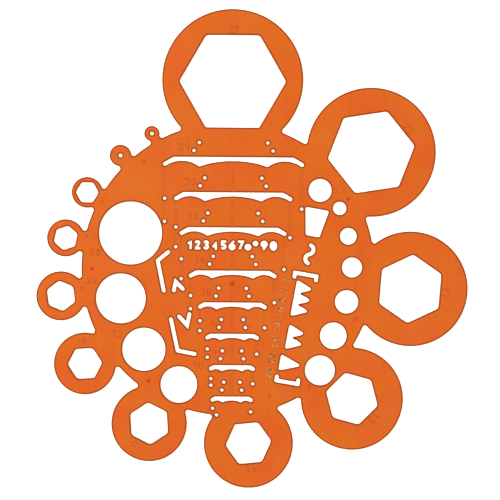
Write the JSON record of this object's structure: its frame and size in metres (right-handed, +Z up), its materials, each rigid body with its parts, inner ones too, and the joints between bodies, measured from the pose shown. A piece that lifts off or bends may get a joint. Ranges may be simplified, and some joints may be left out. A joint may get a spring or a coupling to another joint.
{
  "type": "nut and bolt drawing template",
  "caption": "Flat plastic drawing stencil: round body with hexagon lobes round its edge, circles, side-view bolt slots and pricking holes, open figures and drawing symbols.",
  "frame": {"origin": "middle of the outline's box, on the under face that lies on the paper", "axes": "+Z up through the sheet, +Y along the middle line of the bolt views towards the largest hexagon, +X to the right of the figures as they are read"},
  "size_m": [0.1308, 0.145, 0.0012],
  "materials": {
    "orange_plastic": "moulded translucent orange plastic, smooth faces, darker where edges are cut",
    "gold_foil": "hot-stamped dull gold foil"
  },
  "bodies": {
    "root": {"template_sheet": "orange_plastic", "foil_24_figure_1": "gold_foil", "foil_24_figure_2": "gold_foil", "foil_20_figure_1": "gold_foil", "foil_20_figure_2": "gold_foil", "foil_18_figure_1": "gold_foil", "foil_18_figure_2": "gold_foil", "foil_14_figure_1": "gold_foil", "foil_14_figure_2": "gold_foil", "foil_10_figure_1": "gold_foil", "foil_10_figure_2": "gold_foil", "foil_8_figure_1": "gold_foil", "foil_7_figure_1": "gold_foil", "foil_6_figure_1": "gold_foil"}
  },
  "joints": []
}
